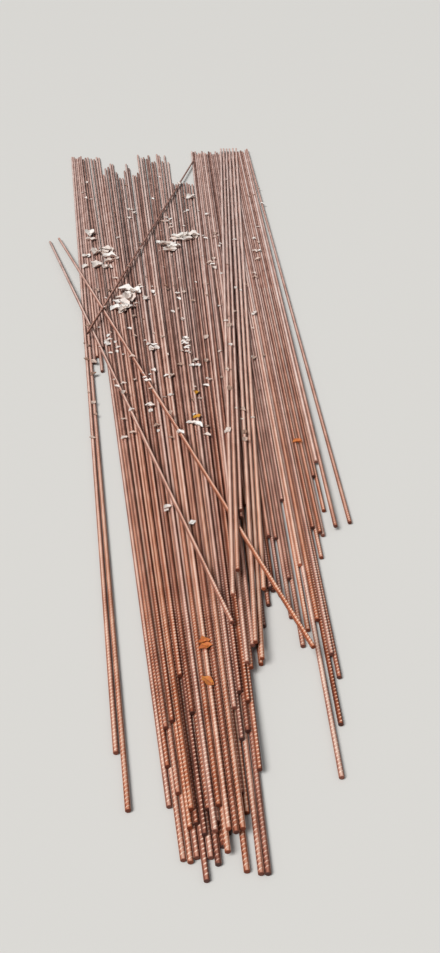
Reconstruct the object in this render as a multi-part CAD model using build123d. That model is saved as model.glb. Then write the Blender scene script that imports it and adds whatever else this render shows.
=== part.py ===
"""A loose bundle of ribbed reinforcing bars, fanned out and lying flat on a level floor.

Millimetres, +Z up. The bars run along Y: their gathered ends are at -Y and their spread ends
at +Y. The origin is under the middle of the heap's bounding box, on the floor.
The bars' ribs are fine relief and are not modelled: a bar is its round core, whose diameter is
the nominal one, so its weight is the real one.
"""
from build123d import *

import math
import os
import random
from collections import namedtuple

# The bars. The stock length is nominal: bars are delivered up to about 100 mm longer.
BAR_DIAMETER = 12.0
THIN_BAR_DIAMETER = 10.0
STOCK_LENGTH = 6000.0

# The foremost gathered end, and the line one stock length behind it: a spread end's place is given
# by how far past this line it lies
GATHERED_AT = 1135.0
SPREAD_LINE = GATHERED_AT + STOCK_LENGTH

# A bar stays this far from the floor or the bars that carry it, so that like bars can share a node
SEAT_GAP = 0.3

# Reference lines across the heap, on which the sideways places of the bars are given
FRONT_LINE = 1200.0
BACK_LINE = 7000.0

# Distance between two places along a bar at which its height over the bars below is tested
TEST_STEP = 25.0

# The groove between two bars side by side, as a share of their pitch
GROOVE = 0.5

# The share of a bar's length at which its weight acts
MIDDLE = 0.5

# Seed of the small irregularities in the gaps and in the ends
SEED = 12

# The left fan: in layers where its bars are gathered, and in one layer where they spread
LEFT_FRONT_EDGE = -85.0
LEFT_BACK_EDGE = -1000.0
LEFT_FRONT_GAP = 1.3
LEFT_BACK_GAP = 6.9
LEFT_BOTTOM_ENDS_AT = (1305.0, 1180.0, 1175.0, 1185.0, GATHERED_AT, 1185.0, 1170.0,
                       1210.0, 1240.0, 1250.0, 1155.0, 1290.0, 1150.0, 1150.0)
LEFT_MIDDLE_ENDS_AT = (1400.0, 1330.0, 1245.0, 1255.0, 1230.0, 1290.0, 1260.0,
                       1190.0, 1300.0, 1270.0, 1330.0, 1475.0, 1500.0, 1390.0)
LEFT_TOP_ENDS_AT = (1500.0, 1520.0, 1280.0, 1665.0, 1545.0, 1230.0, 1290.0,
                    1235.0, 1225.0, 1235.0, 1560.0, 1610.0, 1580.0, 1690.0)

# The left fan's spread ends lie in groups, from left to right: the bars in each, how far past the
# spread line its farthest bar reaches, and how far its others fall short of that one
LEFT_BACK_COUNTS = (8, 14, 12, 8)
LEFT_BACK_PAST = (-25.0, -235.0, 115.0, -755.0)
LEFT_BACK_STAGGERS = (80.0, 420.0, 320.0, 90.0)

# The pair that lies by itself on the left
PAIR_FRONT_EDGE = -185.0
PAIR_BACK_EDGE = -1056.0
PAIR_FRONT_GAP = 4.0
PAIR_BACK_GAP = 0.8
PAIR_ENDS_AT = (1447.0, 1295.0)
PAIR_BACK_PAST = -25.0

# The short bars beside that pair, which lie only at the spread end
SHORT_FRONT_EDGE = -152.0
SHORT_FRONT_GAP = 1.0
SHORT_BACK_GAP = 0.6
SHORT_ENDS_AT = (3480.0, 3540.0, 3400.0, 3620.0)
SHORT_BACK_PAST = -75.0

# The right fan: two layers where its bars are gathered, one where they spread. The lower bars
# reach farther forward than the upper ones.
RIGHT_FRONT_EDGE = 88.0
RIGHT_BACK_EDGE = -195.0
RIGHT_FRONT_GAP = 5.3
RIGHT_BACK_GAP = 0.35
RIGHT_BACK_PAST = 195.0
RIGHT_BACK_STAGGER = 170.0
RIGHT_LOWER_ENDS_AT = (1690.0, 1760.0, 1725.0, 1865.0, 1950.0, 2010.0, 1990.0, 1900.0,
                       1790.0, 1850.0, 1380.0, 1530.0, 1680.0, 2160.0, 2270.0, 2400.0)
RIGHT_UPPER_ENDS_AT = (2305.0, 2310.0, 2415.0, 2200.0, 2010.0, 2250.0, 2240.0, 2050.0,
                       2446.0, 2112.0, 1880.0, 1750.0, 2294.0, 2270.0, 2585.0, 2680.0)

# The two bars at the right edge that leave the others toward the front
EDGE_FRONT_EDGE = 369.0
EDGE_FRONT_GAP = 44.0
EDGE_BACK_GAP = 0.6
EDGE_ENDS_AT = (2300.0, 2336.0)

# The straight bars over the right fan, under the crossing bars
STRAIGHT_FRONT_EDGE = 88.0
STRAIGHT_BACK_EDGE = 72.0
STRAIGHT_FRONT_GAP = 1.5
STRAIGHT_BACK_GAP = 12.0
STRAIGHT_ENDS_AT = (1760.0, 1720.0, 1990.0)

# The straight bars on top of everything along the middle, over the crossing bars
TOP_FRONT_EDGE = 37.0
TOP_BACK_EDGE = 8.0
TOP_FRONT_GAP = 1.5
TOP_BACK_GAP = 9.0
TOP_ENDS_AT = (1913.0, 2018.0, 2330.0)

# The crossing bars: front end and back end of each, as seen from above
CROSSING_A = ((31.0, 1824.0), (-921.0, 5080.0))
CROSSING_B = ((222.0, 1723.0), (-878.0, 5121.0))
CROSSING_THIN = ((-551.0, 3700.0), (-191.0, 6918.0))

Bar = namedtuple("Bar", "node front back diameter")
Laid = namedtuple("Laid", "bar front_z back_z")

rng = random.Random(SEED)


def places(count, edge, gap, layers=1):
    """Sideways places of bars on one reference line, evenly spaced but for small irregularities.

    Each layer lies half a pitch beside the one below, in its grooves.
    """
    pitch = BAR_DIAMETER + gap
    return [edge + pitch * (i // layers + i % layers * GROOVE) + rng.uniform(0.0, gap / layers)
            for i in range(count)]


def bar_on_line(node, front_x, back_x, front_y, back_y):
    """A bar between two end lines, along the line given by its places on the reference lines."""
    slope = (back_x - front_x) / (BACK_LINE - FRONT_LINE)
    front = (front_x + slope * (front_y - FRONT_LINE), front_y)
    back = (front_x + slope * (back_y - FRONT_LINE), back_y)
    return Bar(node, front, back, BAR_DIAMETER)


def fan(nodes, layer_ends, fronts, backs, back_ends):
    """A fan's bars, layer by layer as they are laid; side by side, the layers take turns."""
    bars = []
    for layer, (node, ends) in enumerate(zip(nodes, layer_ends)):
        for i, front_y in enumerate(ends):
            place = i * len(nodes) + layer
            bars.append(bar_on_line(node, fronts[place], backs[place], front_y, back_ends[place]))
    return bars


def left_fan():
    """The left fan's bars, in groups that were cut to different lengths at the spread end."""
    nodes = ("left_bars_bottom", "left_bars_middle", "left_bars_top")
    layer_ends = (LEFT_BOTTOM_ENDS_AT, LEFT_MIDDLE_ENDS_AT, LEFT_TOP_ENDS_AT)
    count = sum(len(ends) for ends in layer_ends)
    fronts = places(count, LEFT_FRONT_EDGE, LEFT_FRONT_GAP, len(layer_ends))
    backs = places(count, LEFT_BACK_EDGE, LEFT_BACK_GAP)
    groups = zip(LEFT_BACK_COUNTS, LEFT_BACK_PAST, LEFT_BACK_STAGGERS)
    back_ends = [SPREAD_LINE + past - rng.uniform(0.0, stagger)
                 for group_count, past, stagger in groups for _ in range(group_count)]
    return fan(nodes, layer_ends, fronts, backs, back_ends)


def right_fan():
    """The right fan's bars."""
    nodes = ("right_bars_lower", "right_bars_upper")
    layer_ends = (RIGHT_LOWER_ENDS_AT, RIGHT_UPPER_ENDS_AT)
    count = sum(len(ends) for ends in layer_ends)
    fronts = places(count, RIGHT_FRONT_EDGE, RIGHT_FRONT_GAP, len(layer_ends))
    backs = places(count, RIGHT_BACK_EDGE, RIGHT_BACK_GAP)
    farthest = SPREAD_LINE + RIGHT_BACK_PAST
    back_ends = [farthest - rng.uniform(0.0, RIGHT_BACK_STAGGER) for _ in range(count)]
    return fan(nodes, layer_ends, fronts, backs, back_ends)


def side_by_side(node, front_edge, front_gap, back_edge, back_gap, front_ends, back_past):
    """A few bars side by side, one for each front end in the list."""
    bars = []
    for i, front_y in enumerate(front_ends):
        front_x = front_edge + i * (BAR_DIAMETER + front_gap)
        back_x = back_edge + i * (BAR_DIAMETER + back_gap)
        bars.append(bar_on_line(node, front_x, back_x, front_y, SPREAD_LINE + back_past))
    return bars


def edge_bars():
    """The bars beside the two fans: the far left pair, the short ones and the right edge pair.

    At the spread end the short bars follow the left pair and the right pair follows the fan.
    """
    short_back_edge = PAIR_BACK_EDGE + len(PAIR_ENDS_AT) * (BAR_DIAMETER + PAIR_BACK_GAP)
    right_count = len(RIGHT_LOWER_ENDS_AT) + len(RIGHT_UPPER_ENDS_AT)
    right_back_edge = RIGHT_BACK_EDGE + right_count * (BAR_DIAMETER + RIGHT_BACK_GAP)
    return (
        side_by_side("left_edge_pair", PAIR_FRONT_EDGE, PAIR_FRONT_GAP, PAIR_BACK_EDGE,
                     PAIR_BACK_GAP, PAIR_ENDS_AT, PAIR_BACK_PAST)
        + side_by_side("left_short_bars", SHORT_FRONT_EDGE, SHORT_FRONT_GAP, short_back_edge,
                       SHORT_BACK_GAP, SHORT_ENDS_AT, SHORT_BACK_PAST)
        + side_by_side("right_edge_pair", EDGE_FRONT_EDGE, EDGE_FRONT_GAP, right_back_edge,
                       EDGE_BACK_GAP, EDGE_ENDS_AT, RIGHT_BACK_PAST)
    )


def straight_bars():
    """The straight bars that lie over the right fan."""
    return side_by_side("straight_bars", STRAIGHT_FRONT_EDGE, STRAIGHT_FRONT_GAP,
                        STRAIGHT_BACK_EDGE, STRAIGHT_BACK_GAP, STRAIGHT_ENDS_AT, RIGHT_BACK_PAST)


def top_bars():
    """The straight bars that lie on top along the middle."""
    return side_by_side("straight_top_bars", TOP_FRONT_EDGE, TOP_FRONT_GAP,
                        TOP_BACK_EDGE, TOP_BACK_GAP, TOP_ENDS_AT, RIGHT_BACK_PAST)


def crossing_bars():
    """The two bars that slant across the others."""
    return [
        Bar("crossing_bar_a", CROSSING_A[0], CROSSING_A[1], BAR_DIAMETER),
        Bar("crossing_bar_b", CROSSING_B[0], CROSSING_B[1], BAR_DIAMETER),
    ]


def thin_bar():
    """The thin bar that slants the other way, laid last."""
    return [Bar("thin_crossing_bar", CROSSING_THIN[0], CROSSING_THIN[1], THIN_BAR_DIAMETER)]


def share_along(point, bar):
    """How far along a bar, seen from above, the place nearest to a point is: 0 front, 1 back."""
    dx = bar.back[0] - bar.front[0]
    dy = bar.back[1] - bar.front[1]
    share = ((point[0] - bar.front[0]) * dx + (point[1] - bar.front[1]) * dy) / (dx * dx + dy * dy)
    return min(1.0, max(0.0, share))


def point_at(bar, share):
    """The place on a bar's axis, seen from above, at a share of its length."""
    return (bar.front[0] + share * (bar.back[0] - bar.front[0]),
            bar.front[1] + share * (bar.back[1] - bar.front[1]))


def crossing_share(bar, other):
    """The share of a bar's length at which it crosses another, seen from above, or None."""
    ax = bar.back[0] - bar.front[0]
    ay = bar.back[1] - bar.front[1]
    bx = other.back[0] - other.front[0]
    by = other.back[1] - other.front[1]
    turn = ax * by - ay * bx
    if turn == 0.0:
        return None
    share = ((other.front[0] - bar.front[0]) * by - (other.front[1] - bar.front[1]) * bx) / turn
    return share if 0.0 < share < 1.0 else None


def height_over(point, radius, laid):
    """The lowest height that a bar's axis may have at a place, because of one bar laid before."""
    reach = radius + laid.bar.diameter / 2 + SEAT_GAP
    share = share_along(point, laid.bar)
    nearest = point_at(laid.bar, share)
    aside = math.hypot(point[0] - nearest[0], point[1] - nearest[1])
    if aside >= reach:
        return None
    return laid.front_z + share * (laid.back_z - laid.front_z) + math.sqrt(reach ** 2 - aside ** 2)


def upper_hull(supports):
    """The supports that a straight edge laid over them could touch, from front to back."""
    hull = []
    for support in sorted(supports):
        while len(hull) >= 2:
            (x0, z0), (x1, z1) = hull[-2], hull[-1]
            if (z1 - z0) * (support[0] - x0) > (support[1] - z0) * (x1 - x0):
                break
            hull.pop()
        hull.append(support)
    return hull


def lay(bar, heap):
    """Lower a bar on the heap until it rests on one support in front of its middle and one behind."""
    radius = bar.diameter / 2
    length = math.dist(bar.front, bar.back)
    steps = math.ceil(length / TEST_STEP)
    shares = {i / steps for i in range(steps + 1)}
    for laid in heap:
        shares.add(share_along(laid.bar.front, bar))
        shares.add(share_along(laid.bar.back, bar))
        crossing = crossing_share(bar, laid.bar)
        if crossing is not None:
            shares.add(crossing)
    supports = []
    for share in shares:
        point = point_at(bar, share)
        height = radius
        for laid in heap:
            over = height_over(point, radius, laid)
            if over is not None:
                height = max(height, over)
        supports.append((share, height))
    hull = upper_hull(supports)
    for (x0, z0), (x1, z1) in zip(hull, hull[1:]):
        if x1 >= MIDDLE:
            tilt = (z1 - z0) / (x1 - x0)
            return Laid(bar, z0 - tilt * x0, z0 + tilt * (1.0 - x0))
    raise ValueError("a bar needs two supports")


def rod(laid, centre):
    """The solid of one laid bar, moved so that the heap's centre is at the origin."""
    front = Vector(laid.bar.front[0], laid.bar.front[1], laid.front_z) - centre
    back = Vector(laid.bar.back[0], laid.bar.back[1], laid.back_z) - centre
    axis = Plane(origin=front, z_dir=back - front)
    return Solid.make_cylinder(laid.bar.diameter / 2, (back - front).length, axis)


bars = (left_fan() + right_fan() + edge_bars() + straight_bars() + crossing_bars() + top_bars()
        + thin_bar())
heap = []
for bar in bars:
    heap.append(lay(bar, heap))

uncentred = Compound(children=[rod(laid, Vector(0, 0, 0)) for laid in heap]).bounding_box()
centre = Vector((uncentred.min.X + uncentred.max.X) / 2, (uncentred.min.Y + uncentred.max.Y) / 2, 0)

nodes = {}
for laid in heap:
    nodes.setdefault(laid.bar.node, []).append(rod(laid, centre))

os.makedirs("parts", exist_ok=True)
for name, rods in nodes.items():
    export_step(rods[0] if len(rods) == 1 else Compound(children=rods), f"parts/{name}.step")
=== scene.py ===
"""Looks of a loose bundle of rusty ribbed reinforcing bars, fanned out on a level floor.

Metres, +Z up. The bars run along Y, with their gathered ends at -Y. Each bar's place, length and
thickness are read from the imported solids; its ribs, its sheared ends and its rust are made here,
and so are the dead leaves that lie on the bars.
"""

import math
import random

import bmesh
import bpy
from mathutils import Matrix, Vector
from mathutils.bvhtree import BVHTree


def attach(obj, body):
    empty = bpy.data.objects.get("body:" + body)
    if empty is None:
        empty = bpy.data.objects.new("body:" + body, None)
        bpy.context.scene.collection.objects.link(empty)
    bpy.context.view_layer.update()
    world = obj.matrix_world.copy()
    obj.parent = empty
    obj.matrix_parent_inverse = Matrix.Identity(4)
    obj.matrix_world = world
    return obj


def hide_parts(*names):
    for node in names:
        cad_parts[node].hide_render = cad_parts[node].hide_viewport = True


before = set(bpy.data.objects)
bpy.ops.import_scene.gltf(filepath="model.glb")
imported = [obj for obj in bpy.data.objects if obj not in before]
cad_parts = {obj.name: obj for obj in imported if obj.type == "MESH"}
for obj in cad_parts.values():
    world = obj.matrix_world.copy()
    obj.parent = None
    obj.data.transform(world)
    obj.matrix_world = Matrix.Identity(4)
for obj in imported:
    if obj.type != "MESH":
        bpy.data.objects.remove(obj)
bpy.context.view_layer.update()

RANDOM_SEED = 5
rng = random.Random(RANDOM_SEED)

MM = 0.001

# Points nearer to each other than this are one point
SAME_POINT = 0.01 * MM

# Hot-rolled ribs of a 12 mm bar: crescents in two opposite rows, inclined to the bar, and a low
# rib along the bar between the rows. The photograph shows a pitch of nearly one diameter.
RIB_PITCH = 11.1 * MM
RIB_HEIGHT = 0.95 * MM
RIB_BASE = 5.4 * MM
RIB_CREST = 2.0 * MM
RIB_SWEEP = math.radians(156)
RIB_STATIONS = 5
RIB_LEAN = 8.5 * MM
LONG_RIB_HEIGHT = 0.35 * MM
LONG_RIB_WIDTH = 1.4 * MM
LONG_RIB_SUNK = 0.3 * MM

# Ribs are joined from runs of 1, 2, 4 and so on pairs, up to this many
LARGEST_RIB_RUN = 256

# Edges at least this steep stay sharp: those of the chamfered ends, not those round a rib
SHARP_EDGE = math.radians(42)

# Ribs are modelled from the gathered ends to this line, and are bump behind it
RIBS_END_Y = 0.1

# The bars lie with a row of crescents upward, rolled to either side by up to this
LARGEST_ROLL = math.radians(26)

# A bar's core, the worn edge of its sheared ends, and how far from an end its first rib lies
BAR_SIDES = 16
END_CHAMFER = 0.9 * MM
FIRST_RIB = 7.5 * MM

# Rust lies in blotches 50 to 100 mm long, stretched along the bar, with a grain of about 2 mm
BLOTCH_SCALE = 30.0
BLOTCH_STRETCH = (1.0, 0.35, 1.0)
GRAIN_SCALE = 480.0
PIT_DEPTH = 0.35 * MM

# How much each cause makes the rust paler; the crests are partly wear and partly a painted highlight,
# and the top is a painted highlight along each bar where the light falls
TONE_SHARE = 0.28
BLOTCH_SHARE = 0.32
CREST_WEAR_AND_HIGHLIGHT_SHARE = 0.32
GRAIN_SHARE = 0.12
PAINTED_TOP_HIGHLIGHT_SHARE = 0.28

# The painted highlight along the top of a bar is narrower, the larger this is
PAINTED_TOP_HIGHLIGHT_NARROWNESS = 3.0

# Rust's colours from dark to pale, each as a shade from 0 to 1 and an sRGB colour: red at the gathered
# ends, and greyer at the spread ends, where a painted sheen stands for sky reflected at a grazing angle.
# It is reddest before one line and has the most painted sheen behind the other.
RED_RUST_RAMP = ((0.28, "#401606"), (0.48, "#833f24"), (0.62, "#ca7f60"), (0.84, "#ffdcc4"))
GREY_PAINTED_SHEEN_RAMP = ((0.3, "#301c16"), (0.48, "#7c5448"), (0.61, "#cc9f90"), (0.84, "#fbe6dd"))
REDDEST_Y = -2.4
PAINTED_SHEEN_FULL_Y = 0.7

# Colour strength of the dullest and the brightest rust, and how often it swings from one to the
# other between the darkest bar and the palest
DULLEST = 0.86
BRIGHTEST = 1.12
DULLNESS_TURNS = 7.3

# How pale each bar of a node may be, from 0 to 1, where the photograph shows them alike
ANY_TONE = (0.0, 1.0)
BAR_TONES = {"left_bars_bottom": (0.05, 0.85),
             "left_bars_middle": (0.05, 0.85),
             "left_bars_top": (0.05, 0.9),
             "left_edge_pair": (0.65, 0.9),
             "right_edge_pair": (0.5, 0.8),
             "straight_top_bars": (0.65, 0.95),
             "crossing_bar_a": (0.55, 0.7),
             "crossing_bar_b": (0.55, 0.7),
             "thin_crossing_bar": (0.1, 0.25)}

# Dead leaves on the bars, at the pixels where the photograph shows them. A heap has its middle,
# half its width and half its height in pixels, and its number of leaves.
LARGE_HEAPS_PX = ((185, 239, 13, 4, 17), (168, 247, 9, 5, 12), (98, 259, 13, 9, 20), (87, 237, 6, 4, 5),
                  (131, 294, 6, 3, 6), (122, 305, 9, 7, 11), (187, 199, 5, 3, 3))
SMALL_HEAPS_PX = ((148, 300, 3, 2, 3), (188, 212, 3, 2, 3), (169, 220, 3, 8, 6), (131, 221, 4, 3, 4),
                  (131, 211, 4, 3, 3), (155, 200, 3, 1, 2), (188, 347, 3, 7, 8), (194, 364, 5, 3, 4),
                  (153, 348, 5, 3, 6), (108, 343, 2, 7, 5), (179, 299, 2, 3, 3), (185, 320, 3, 1, 2),
                  (213, 269, 2, 2, 2), (255, 242, 2, 3, 3), (258, 250, 2, 2, 2), (148, 407, 3, 6, 3),
                  (196, 424, 5, 5, 4), (181, 432, 3, 3, 2), (166, 510, 4, 2, 2), (192, 527, 2, 1, 1))
YELLOW_LEAVES_PX = ((197, 396), (197, 417))
ORANGE_HEAPS_PX = ((203, 644, 4, 4, 4), (208, 683, 2, 2, 2), (296, 444, 4, 2, 2))

# Smaller scraps of leaf lie scattered over the spread half
SCRAPS_ACROSS_PX = (80, 265)
SCRAPS_DOWN_PX = (158, 440)
SCRAP_COUNT = 230

# The shortest and longest leaf of each kind, and the range of its places on the colour ramp
LARGE_LEAF_LENGTH = (45 * MM, 90 * MM)
SMALL_LEAF_LENGTH = (20 * MM, 42 * MM)
YELLOW_LEAF_LENGTH = (30 * MM, 50 * MM)
ORANGE_LEAF_LENGTH = (22 * MM, 40 * MM)
SCRAP_LENGTH = (12 * MM, 36 * MM)
PALE_TONE = (0.0, 0.22)
YELLOW_TONE = (0.85, 1.0)
ORANGE_TONE = (0.7, 0.76)
SCRAP_TONE = (0.05, 0.55)

# A leaf is a grid of stations and strips. Its width and arch are shares of its length; its curl,
# ripple and crumple are shares of half its width. It ripples this many times from end to end, and
# is nowhere narrower than its stalk.
LEAF_STATIONS = 6
LEAF_STRIPS = 4
LEAF_SLENDERNESS = 0.6
LEAF_BLUNTNESS = 0.7
LEAF_CURL = (0.2, 0.9)
LEAF_ARCH = (0.05, 0.35)
LEAF_RIPPLE = (0.15, 0.4)
LEAF_RIPPLES = 1.6
LEAF_JAG = 0.1
LEAF_CRUMPLE = 0.06
LEAF_THICKNESS = 0.4 * MM
LEAF_STALK = 1.2 * MM

# How a leaf lies: its largest tilt, its distance from the bars, and a height above the whole heap
LEAF_LEAN = math.radians(12)
LEAF_CLEARANCE = 0.3 * MM
OVER_THE_HEAP = 1.0

# The leaves' colours: bleached, tan, brown, orange and yellow
LEAF_RAMP = ((0.0, "#f9f5f0"), (0.3, "#d6beb0"), (0.6, "#8a6048"), (0.72, "#cf7440"), (0.9, "#dfa62f"))

# A leaf's mottling, about 7 mm across, its wrinkles, and its darker midrib, which reaches to this
# share of half its width
MOTTLE_SCALE = 140.0
MOTTLE_SHARE = 0.3
WRINKLE_DEPTH = 1.0 * MM
MIDRIB_WIDTH = 0.25
MIDRIB_BRIGHTNESS = 0.55

# A level floor, a soft sky, and one soft light from above
FLOOR_HALF_WIDTH = 60.0
FLOOR_AS_SEEN = "#e4e2dd"
FLOOR_AS_A_LIGHT = "#5a5248"
SKY_COLOUR = "#f4f5f7"
SKY_STRENGTH = 0.27
LIGHT_ENERGY = 2.8
LIGHT_SOFTNESS = math.radians(30)
LIGHT_TURN = (math.radians(30), math.radians(-30), 0)

# The photograph's view: a camera held at standing height, just behind the gathered ends
PHOTO_WIDTH_PX = 440
PHOTO_HEIGHT_PX = 953
FOCAL_PX = 950.0
HORIZON_ABOVE_CENTRE_PX = 568.5
CAMERA_ABOVE_BARS = 1.53
BARS_ABOVE_FLOOR = 0.03
CAMERA_X = 0.3455
CAMERA_Y = -4.2272
SENSOR_MM = 36.0


def linear(hex_colour):
    """An sRGB hex colour as a linear RGBA tuple."""
    values = [int(hex_colour[i:i + 2], 16) / 255 for i in (1, 3, 5)]
    return tuple(v / 12.92 if v <= 0.04045 else ((v + 0.055) / 1.055) ** 2.4 for v in values) + (1.0,)


def add_node(tree, kind, settings=None, inputs=None, links=None):
    """Add a node, set its properties and socket values, and link other nodes' outputs to it."""
    node = tree.nodes.new(kind)
    for name, value in (settings or {}).items():
        setattr(node, name, value)
    for name, value in (inputs or {}).items():
        node.inputs[name].default_value = value
    for name, output in (links or {}).items():
        tree.links.new(output, node.inputs[name])
    return node


def new_material(name):
    """An empty node material with its output node."""
    material = bpy.data.materials.new(name)
    material.use_nodes = True
    material.node_tree.nodes.clear()
    output = add_node(material.node_tree, "ShaderNodeOutputMaterial")
    return material, material.node_tree, output


def add_math(tree, operation, a, b=None, c=None):
    """A Math node's output; each operand is a number or another node's output."""
    operands = [(i, value) for i, value in enumerate((a, b, c)) if value is not None]
    numbers = {i: value for i, value in operands if isinstance(value, (int, float))}
    outputs = {i: value for i, value in operands if i not in numbers}
    return add_node(tree, "ShaderNodeMath", {"operation": operation}, numbers, outputs).outputs[0]


def add_ramp(tree, shade, stops):
    """A colour ramp's output; each stop is a shade from 0 to 1 and its sRGB colour."""
    ramp = add_node(tree, "ShaderNodeValToRGB", links={"Fac": shade})
    elements = ramp.color_ramp.elements
    while len(elements) < len(stops):
        elements.new(0.5)
    for element, (position, colour) in zip(elements, stops):
        element.position = position
        element.color = linear(colour)
    return ramp.outputs["Color"]


def add_surface(tree, output, inputs, links):
    """Give a material its surface, from plain values and from other nodes' outputs."""
    shader = add_node(tree, "ShaderNodeBsdfPrincipled", None, inputs, links)
    tree.links.new(shader.outputs["BSDF"], output.inputs["Surface"])


def rib_bump_height(tree):
    """The height, 0 to 1, of the ribs that are bump: the same crescents, drawn on the bar's UV map.

    U is the distance along the bar, in metres, from where the modelled ribs end. V goes once round.
    """
    uv = add_node(tree, "ShaderNodeUVMap", {"uv_map": "along_and_round"}).outputs["UV"]
    split = add_node(tree, "ShaderNodeSeparateXYZ", links={"Vector": uv})
    along = split.outputs["X"]
    rows = add_math(tree, "MULTIPLY", split.outputs["Y"], 2.0)
    row = add_math(tree, "FLOOR", rows)
    across = add_math(tree, "SUBTRACT", add_math(tree, "SUBTRACT", rows, row), 0.5)
    fullness = add_math(tree, "COSINE", add_math(tree, "MULTIPLY", across, math.pi * math.pi / RIB_SWEEP))
    fullness = add_math(tree, "MAXIMUM", fullness, 0.0)
    lean = add_math(tree, "MULTIPLY", across, -RIB_LEAN / RIB_PITCH * math.pi / RIB_SWEEP)
    turns = add_math(tree, "MULTIPLY_ADD", along, 1.0 / RIB_PITCH, lean)
    turns = add_math(tree, "MULTIPLY_ADD", row, 0.5, turns)
    from_crest = add_math(tree, "PINGPONG", turns, 0.5)
    ridge = add_node(tree, "ShaderNodeMapRange", {"interpolation_type": "SMOOTHSTEP"},
                     {"From Min": RIB_BASE / 2 / RIB_PITCH, "From Max": RIB_CREST / 2 / RIB_PITCH},
                     {"Value": from_crest}).outputs["Result"]
    behind = add_math(tree, "GREATER_THAN", along, 0.0)
    return add_math(tree, "MULTIPLY", add_math(tree, "MULTIPLY", ridge, fullness), behind)


def rusted_bar_material():
    """Hot-rolled bar rusted outdoors: a dull orange-brown bloom, with painted highlights on its top and
    rib crests, which are also worn paler.
    """
    material, tree, output = new_material("rusted_hot_rolled_bar")
    place = add_node(tree, "ShaderNodeTexCoord").outputs["Object"]
    tone = add_node(tree, "ShaderNodeAttribute", {"attribute_name": "bar_tone"}).outputs["Fac"]
    crest = add_node(tree, "ShaderNodeAttribute", {"attribute_name": "rib_crest"}).outputs["Fac"]
    bump_ribs = rib_bump_height(tree)
    crest = add_math(tree, "ADD", crest, bump_ribs)
    along = add_node(tree, "ShaderNodeSeparateXYZ", links={"Vector": place}).outputs["Y"]

    stretched = add_node(tree, "ShaderNodeMapping", inputs={"Scale": BLOTCH_STRETCH},
                         links={"Vector": place}).outputs["Vector"]
    blotch = add_node(tree, "ShaderNodeTexNoise",
                      inputs={"Scale": BLOTCH_SCALE, "Detail": 4.0, "Roughness": 0.6},
                      links={"Vector": stretched}).outputs["Fac"]
    grain = add_node(tree, "ShaderNodeTexNoise",
                     inputs={"Scale": GRAIN_SCALE, "Detail": 2.0, "Roughness": 0.6},
                     links={"Vector": place}).outputs["Fac"]

    # The bloom is painted paler along the top of each bar, as a highlight where the light falls, and is
    # paler on the crests of the ribs, partly from wear and partly as a painted highlight
    facing = add_node(tree, "ShaderNodeNewGeometry").outputs["Normal"]
    upward = add_node(tree, "ShaderNodeSeparateXYZ", links={"Vector": facing}).outputs["Z"]
    # A painted highlight along the top of each bar
    top = add_math(tree, "POWER", add_math(tree, "MAXIMUM", upward, 0.0), PAINTED_TOP_HIGHLIGHT_NARROWNESS)
    shade = add_math(tree, "MULTIPLY", blotch, BLOTCH_SHARE)
    shade = add_math(tree, "MULTIPLY_ADD", tone, TONE_SHARE, shade)
    shade = add_math(tree, "MULTIPLY_ADD", crest, CREST_WEAR_AND_HIGHLIGHT_SHARE, shade)
    shade = add_math(tree, "MULTIPLY_ADD", grain, GRAIN_SHARE, shade)
    shade = add_math(tree, "MULTIPLY_ADD", top, PAINTED_TOP_HIGHLIGHT_SHARE, shade)
    near = add_ramp(tree, shade, RED_RUST_RAMP)
    # The greyer colours are a painted sheen, for sky reflected in the far bars at a grazing angle
    far_painted_sheen = add_ramp(tree, shade, GREY_PAINTED_SHEEN_RAMP)
    painted_sheen_fade = add_node(tree, "ShaderNodeMapRange", inputs={"From Min": REDDEST_Y, "From Max": PAINTED_SHEEN_FULL_Y},
                    links={"Value": along}).outputs["Result"]
    colour = add_node(tree, "ShaderNodeMix", {"data_type": "RGBA"},
                      links={0: painted_sheen_fade, 6: near, 7: far_painted_sheen}).outputs[2]

    # Some bars have rusted orange and others to a dull grey-brown, whatever their tone
    dullness = add_math(tree, "FRACT", add_math(tree, "MULTIPLY", tone, DULLNESS_TURNS))
    strength = add_math(tree, "MULTIPLY_ADD", dullness, DULLEST - BRIGHTEST, BRIGHTEST)
    colour = add_node(tree, "ShaderNodeHueSaturation",
                      links={"Color": colour, "Saturation": strength}).outputs["Color"]

    pitted = add_node(tree, "ShaderNodeBump", inputs={"Strength": 0.5, "Distance": PIT_DEPTH},
                      links={"Height": grain}).outputs["Normal"]
    relief = add_node(tree, "ShaderNodeBump", inputs={"Strength": 1.0, "Distance": RIB_HEIGHT},
                      links={"Height": bump_ribs, "Normal": pitted}).outputs["Normal"]
    add_surface(tree, output, {"Metallic": 0.0, "Roughness": 0.7, "IOR": 1.6},
                {"Base Color": colour, "Normal": relief})
    return material


def geometry_of(mesh):
    """All the vertices, edges and faces of a mesh."""
    return mesh.verts[:] + mesh.edges[:] + mesh.faces[:]


def mesh_data(name, mesh):
    """A finished mesh as data that an object can hold."""
    data = bpy.data.meshes.new(name)
    mesh.to_mesh(data)
    mesh.free()
    return data


def add_object(name, data):
    """Put an object with this data in the scene."""
    added = bpy.data.objects.new(name, data)
    bpy.context.scene.collection.objects.link(added)
    return added


def add_piece(name, mesh, material):
    """Put a finished mesh in the scene as one piece, smooth except at its sharp edges."""
    for face in mesh.faces:
        face.smooth = True
    data = mesh_data(name, mesh)
    data.set_sharp_from_angle(angle=SHARP_EDGE)
    data.materials.append(material)
    return add_object(name, data)


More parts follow.
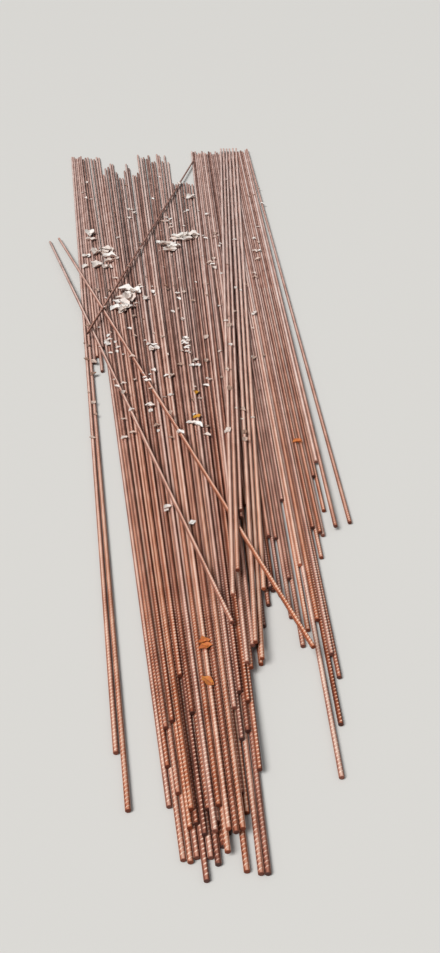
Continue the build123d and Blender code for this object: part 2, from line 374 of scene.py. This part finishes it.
def bars_of(node):
    """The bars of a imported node: front end, back end and radius of each, read from its mesh."""
    solid = bmesh.new()
    solid.from_mesh(node.data)
    bmesh.ops.remove_doubles(solid, verts=solid.verts, dist=SAME_POINT)

    # A dictionary keeps the order of the vertices, so that every run adds them up alike
    unseen = dict.fromkeys(solid.verts)
    bars = []
    while unseen:
        points = []
        to_visit = [unseen.popitem()[0]]
        while to_visit:
            vertex = to_visit.pop()
            points.append(vertex.co.copy())
            for edge in vertex.link_edges:
                other = edge.other_vert(vertex)
                if other in unseen:
                    del unseen[other]
                    to_visit.append(other)
        middle_y = sum(co.y for co in points) / len(points)
        fronts = [co for co in points if co.y < middle_y]
        backs = [co for co in points if co.y >= middle_y]
        front = sum(fronts, Vector()) / len(fronts)
        back = sum(backs, Vector()) / len(backs)
        bars.append((front, back, (fronts[0] - front).length))
    solid.free()
    return sorted(bars, key=lambda bar: bar[0].x)


def crescent_rib(mesh, radius):
    """One crescent rib: its section swept round the bar, dying away to nothing at both ends."""
    section = [(radius, -RIB_BASE / 2), (radius + RIB_HEIGHT, -RIB_CREST / 2),
               (radius + RIB_HEIGHT, RIB_CREST / 2), (radius, RIB_BASE / 2)]
    verts = [mesh.verts.new((reach, 0.0, along)) for reach, along in section]
    edges = [mesh.edges.new(pair) for pair in zip(verts, verts[1:])]
    bmesh.ops.rotate(mesh, verts=verts, matrix=Matrix.Rotation(-RIB_SWEEP / 2, 3, "Z"))
    steps = RIB_STATIONS - 1
    bmesh.ops.spin(mesh, geom=verts + edges, axis=(0, 0, 1), cent=(0, 0, 0), angle=RIB_SWEEP, steps=steps)
    for vertex in mesh.verts:
        angle = math.atan2(vertex.co.y, vertex.co.x)
        fullness = max(0.0, math.cos(angle / RIB_SWEEP * math.pi))
        reach = math.hypot(vertex.co.x, vertex.co.y)
        lowered = radius + (reach - radius) * fullness
        vertex.co.x *= lowered / reach
        vertex.co.y *= lowered / reach
        vertex.co.z = vertex.co.z * fullness + angle / RIB_SWEEP * RIB_LEAN
    bmesh.ops.remove_doubles(mesh, verts=mesh.verts, dist=SAME_POINT)


def add_copy(mesh, matrix):
    """Add a moved copy of all of a mesh to it."""
    copied = bmesh.ops.duplicate(mesh, geom=geometry_of(mesh))["geom"]
    verts = [item for item in copied if isinstance(item, bmesh.types.BMVert)]
    bmesh.ops.transform(mesh, verts=verts, matrix=matrix)


def rib_runs(radius):
    """Runs of 1, 2, 4 and so on pairs of ribs along +Z, longest first, as (pairs, mesh)."""
    mesh = bmesh.new()
    crescent_rib(mesh, radius)
    add_copy(mesh, Matrix.Translation((0, 0, RIB_PITCH / 2)) @ Matrix.Rotation(math.pi, 4, "Z"))
    bmesh.ops.recalc_face_normals(mesh, faces=mesh.faces)
    runs = []
    pairs = 1
    while pairs <= LARGEST_RIB_RUN:
        run = bpy.data.meshes.new("rib_run")
        mesh.to_mesh(run)
        runs.insert(0, (pairs, run))
        add_copy(mesh, Matrix.Translation((0, 0, pairs * RIB_PITCH)))
        pairs *= 2
    mesh.free()
    return runs


def bar_matrix(front, back, turn):
    """Takes a bar modelled along +Z from the origin to its place, turned about its own axis."""
    direction = (back - front).normalized()
    upright = direction.to_track_quat("Z", "Y").to_matrix().to_4x4()
    return Matrix.Translation(front) @ upright @ Matrix.Rotation(turn, 4, "Z")


def add_core(mesh, uv_layer, radius, length, ribbed_length):
    """Start a bar with its round core, its chamfered ends and its UV map, along +Z from the origin."""
    bmesh.ops.create_cone(mesh, cap_ends=True, segments=BAR_SIDES, radius1=radius, radius2=radius,
                          depth=length, matrix=Matrix.Translation((0, 0, length / 2)))
    caps = [face for face in mesh.faces if len(face.verts) == BAR_SIDES]
    bmesh.ops.bevel(mesh, geom=[edge for cap in caps for edge in cap.edges], offset=END_CHAMFER,
                    affect="EDGES", segments=1, profile=0.5, material=-1)
    for face in mesh.faces:
        middle = face.calc_center_median()
        middle_turn = math.atan2(middle.y, middle.x) / math.tau
        for loop in face.loops:
            turn = math.atan2(loop.vert.co.y, loop.vert.co.x) / math.tau
            turn += round(middle_turn - turn)
            loop[uv_layer].uv = (loop.vert.co.z - ribbed_length, turn)


def add_long_ribs(mesh, radius, length):
    """Add the two low ribs that run the bar's whole length, between the rows of crescents."""
    thickness = LONG_RIB_HEIGHT + LONG_RIB_SUNK
    size = Matrix.Diagonal((LONG_RIB_WIDTH, thickness, length - 2 * END_CHAMFER, 1.0))
    reach = radius + (LONG_RIB_HEIGHT - LONG_RIB_SUNK) / 2
    for side in (-1, 1):
        place = Matrix.Translation((0, side * reach, length / 2))
        bmesh.ops.create_cube(mesh, size=1.0, matrix=place @ size)


def add_ribs(mesh, runs, pairs):
    """Add so many pairs of crescents, from the bar's front end on."""
    along = FIRST_RIB
    for run_pairs, run in runs:
        while pairs >= run_pairs:
            run.transform(Matrix.Translation((0, 0, along)))
            mesh.from_mesh(run)
            run.transform(Matrix.Translation((0, 0, -along)))
            along += run_pairs * RIB_PITCH
            pairs -= run_pairs


def ribbed_bar(runs, front, back, radius, tones):
    """One bar in its place, as a mesh, with the attributes that its material reads."""
    length = (back - front).length
    reach = (RIBS_END_Y - front.y) / (back - front).normalized().y - FIRST_RIB
    pairs = int(min(reach, length - 2 * FIRST_RIB) / RIB_PITCH)
    mesh = bmesh.new()
    uv_layer = mesh.loops.layers.uv.new("along_and_round")
    tone_layer = mesh.verts.layers.float.new("bar_tone")
    crest_layer = mesh.verts.layers.float.new("rib_crest")
    add_core(mesh, uv_layer, radius, length, FIRST_RIB + (pairs - 0.5) * RIB_PITCH)
    add_long_ribs(mesh, radius, length)
    add_ribs(mesh, runs, pairs)
    tone = rng.uniform(*tones)
    for vertex in mesh.verts:
        vertex[tone_layer] = tone
        vertex[crest_layer] = max(0.0, math.hypot(vertex.co.x, vertex.co.y) - radius) / RIB_HEIGHT
    turn = rng.choice((-1, 1)) * math.pi / 2 + rng.uniform(-LARGEST_ROLL, LARGEST_ROLL)
    bmesh.ops.transform(mesh, verts=mesh.verts, matrix=bar_matrix(front, back, turn))
    return mesh_data("bar", mesh)


def ribbed_bars(node_name, node, material):
    """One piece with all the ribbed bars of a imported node, in the node's place."""
    joined = bmesh.new()
    bars = bars_of(node)
    runs = rib_runs(bars[0][2])
    for front, back, radius in bars:
        joined.from_mesh(ribbed_bar(runs, front, back, radius, BAR_TONES.get(node_name, ANY_TONE)))
    piece = add_piece(node_name + "_ribbed", joined, material)
    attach(piece, "root")
    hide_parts(node_name)


def floor_and_light():
    """A pale floor just under the ribs of the lowest bars, a soft sky and one soft light above."""
    mesh = bmesh.new()
    bmesh.ops.create_grid(mesh, x_segments=1, y_segments=1, size=FLOOR_HALF_WIDTH,
                          matrix=Matrix.Translation((0, 0, -RIB_HEIGHT)))
    floor = add_object("floor", mesh_data("floor", mesh))

    # The floor is seen pale, but throws as little light up at the bars as a dark one
    material, tree, output = new_material("pale_floor")
    rays = add_node(tree, "ShaderNodeLightPath").outputs
    seen = add_math(tree, "MAXIMUM", rays["Is Camera Ray"], rays["Is Glossy Ray"])
    seen = add_math(tree, "MAXIMUM", seen, rays["Is Transmission Ray"])
    colour = add_node(tree, "ShaderNodeMix", {"data_type": "RGBA"},
                      {6: linear(FLOOR_AS_A_LIGHT), 7: linear(FLOOR_AS_SEEN)}, {0: seen}).outputs[2]
    add_surface(tree, output, {"Roughness": 0.9}, {"Base Color": colour})
    floor.data.materials.append(material)

    world = bpy.data.worlds.new("soft_sky")
    world.use_nodes = True
    background = world.node_tree.nodes["Background"]
    background.inputs["Color"].default_value = linear(SKY_COLOUR)
    background.inputs["Strength"].default_value = SKY_STRENGTH
    bpy.context.scene.world = world

    light = bpy.data.lights.new("soft_light", "SUN")
    light.energy = LIGHT_ENERGY
    light.angle = LIGHT_SOFTNESS
    add_object("soft_light", light).rotation_euler = LIGHT_TURN


def photo_camera():
    """The camera at the photograph's place, looking along the bars and down."""
    camera = bpy.data.cameras.new("photo_camera")
    camera.sensor_width = SENSOR_MM
    camera.lens = FOCAL_PX / PHOTO_HEIGHT_PX * SENSOR_MM
    camera_object = add_object("photo_camera", camera)
    camera_object.location = (CAMERA_X, CAMERA_Y, BARS_ABOVE_FLOOR + CAMERA_ABOVE_BARS)
    pitch = math.atan2(HORIZON_ABOVE_CENTRE_PX, FOCAL_PX)
    camera_object.rotation_euler = (math.pi / 2 - pitch, 0, 0)
    bpy.context.scene.camera = camera_object
    return camera_object


def dry_leaf_material():
    """Dead leaves: bleached to a pale tan, or still yellow, with a darker vein and mottled blades."""
    material, tree, output = new_material("dry_fallen_leaf")
    place = add_node(tree, "ShaderNodeTexCoord").outputs["Object"]
    tone = add_node(tree, "ShaderNodeAttribute", {"attribute_name": "leaf_tone"}).outputs["Fac"]
    aside = add_node(tree, "ShaderNodeAttribute", {"attribute_name": "beside_vein"}).outputs["Fac"]
    mottle = add_node(tree, "ShaderNodeTexNoise", inputs={"Scale": MOTTLE_SCALE, "Detail": 3.0},
                      links={"Vector": place}).outputs["Fac"]
    shade = add_math(tree, "SUBTRACT", tone, MOTTLE_SHARE / 2)
    shade = add_math(tree, "MULTIPLY_ADD", mottle, MOTTLE_SHARE, shade)
    midrib = add_node(tree, "ShaderNodeMapRange",
                      inputs={"From Max": MIDRIB_WIDTH, "To Min": MIDRIB_BRIGHTNESS},
                      links={"Value": aside}).outputs["Result"]
    colour = add_node(tree, "ShaderNodeHueSaturation",
                      links={"Color": add_ramp(tree, shade, LEAF_RAMP), "Value": midrib}).outputs["Color"]
    wrinkled = add_node(tree, "ShaderNodeBump", inputs={"Strength": 0.6, "Distance": WRINKLE_DEPTH},
                        links={"Height": mottle}).outputs["Normal"]
    add_surface(tree, output, {"Roughness": 0.8}, {"Base Color": colour, "Normal": wrinkled})
    return material


def heap_surface():
    """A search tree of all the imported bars, for finding where a leaf comes to rest."""
    heap = bmesh.new()
    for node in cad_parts.values():
        heap.from_mesh(node.data)
    tree = BVHTree.FromBMesh(heap)
    heap.free()
    return tree


def seen_at(heap, camera, pixel):
    """The point of the heap that the photograph shows at a pixel, or None beside the bars."""
    across = (pixel[0] - PHOTO_WIDTH_PX / 2) / FOCAL_PX
    down = (pixel[1] - PHOTO_HEIGHT_PX / 2) / FOCAL_PX
    ray = camera.rotation_euler.to_matrix() @ Vector((across, -down, -1.0))
    return heap.ray_cast(camera.location, ray.normalized())[0]


def heaped_pixels(heaps):
    """A pixel for each leaf of each heap, scattered round the heap's middle."""
    pixels = []
    for across, down, half_width, half_height, count in heaps:
        for _ in range(count):
            pixels.append((across + rng.uniform(-half_width, half_width),
                           down + rng.uniform(-half_height, half_height)))
    return pixels


def fallen_leaf(heap, place, length, tone):
    """One curled and rippled leaf, as a mesh that rests on the highest bar under it."""
    leaf = bmesh.new()
    tone_layer = leaf.verts.layers.float.new("leaf_tone")
    vein_layer = leaf.verts.layers.float.new("beside_vein")

    # The flat grid measures 1 by 1, until each of its vertices is moved to its place on the blade
    bmesh.ops.create_grid(leaf, x_segments=LEAF_STRIPS, y_segments=LEAF_STATIONS, size=0.5)
    curl = rng.uniform(*LEAF_CURL)
    arch = rng.uniform(*LEAF_ARCH)
    ripple = rng.uniform(*LEAF_RIPPLE)
    phase = rng.uniform(0, math.tau)
    for vertex in leaf.verts:
        side = vertex.co.x * 2
        along = vertex.co.y
        width = LEAF_SLENDERNESS * length * max(0.0, math.cos(math.pi * along)) ** LEAF_BLUNTNESS
        half = max(LEAF_STALK, width * (1.0 + rng.uniform(-LEAF_JAG, LEAF_JAG))) / 2
        raised = curl * side * side + rng.uniform(-LEAF_CRUMPLE, LEAF_CRUMPLE)
        raised += ripple * abs(side) * math.sin(LEAF_RIPPLES * math.tau * along + phase)
        vertex.co = (side * half, along * length, raised * half + arch * along * along * length)
        vertex[tone_layer] = tone
        vertex[vein_layer] = abs(side)
    bmesh.ops.solidify(leaf, geom=geometry_of(leaf), thickness=LEAF_THICKNESS)
    bmesh.ops.recalc_face_normals(leaf, faces=leaf.faces)

    # The leaf is turned and tilted, then lowered until it touches the highest bar under it
    heading = Matrix.Rotation(rng.uniform(0, math.tau), 3, "Z")
    lean = Matrix.Rotation(rng.uniform(-LEAF_LEAN, LEAF_LEAN), 3, "X")
    bmesh.ops.rotate(leaf, verts=leaf.verts, matrix=heading @ lean)
    lift = 0.0
    for vertex in leaf.verts:
        over = (place.x + vertex.co.x, place.y + vertex.co.y, OVER_THE_HEAP)
        top = heap.ray_cast(over, (0, 0, -1))[0]
        if top:
            lift = max(lift, top.z - vertex.co.z)
    bmesh.ops.translate(leaf, verts=leaf.verts, vec=(place.x, place.y, lift + LEAF_CLEARANCE))
    return mesh_data("leaf", leaf)


def fallen_leaves(camera):
    """The leaves and scraps that lie on the bars in the photograph, as one piece."""
    heap = heap_surface()
    mesh = bmesh.new()
    scraps = [(rng.uniform(*SCRAPS_ACROSS_PX), rng.uniform(*SCRAPS_DOWN_PX)) for _ in range(SCRAP_COUNT)]
    kinds = ((heaped_pixels(LARGE_HEAPS_PX), LARGE_LEAF_LENGTH, PALE_TONE),
             (heaped_pixels(SMALL_HEAPS_PX), SMALL_LEAF_LENGTH, PALE_TONE),
             (heaped_pixels(ORANGE_HEAPS_PX), ORANGE_LEAF_LENGTH, ORANGE_TONE),
             (YELLOW_LEAVES_PX, YELLOW_LEAF_LENGTH, YELLOW_TONE),
             (scraps, SCRAP_LENGTH, SCRAP_TONE))
    for pixels, lengths, tones in kinds:
        for pixel in pixels:
            place = seen_at(heap, camera, pixel)
            if place:
                mesh.from_mesh(fallen_leaf(heap, place, rng.uniform(*lengths), rng.uniform(*tones)))
    leaves = add_piece("fallen_leaves", mesh, dry_leaf_material())
    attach(leaves, "root")


camera = photo_camera()
floor_and_light()
bar_rust = rusted_bar_material()
for node_name in sorted(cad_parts):
    ribbed_bars(node_name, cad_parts[node_name], bar_rust)
fallen_leaves(camera)

bpy.context.scene.view_settings.view_transform = "Standard"
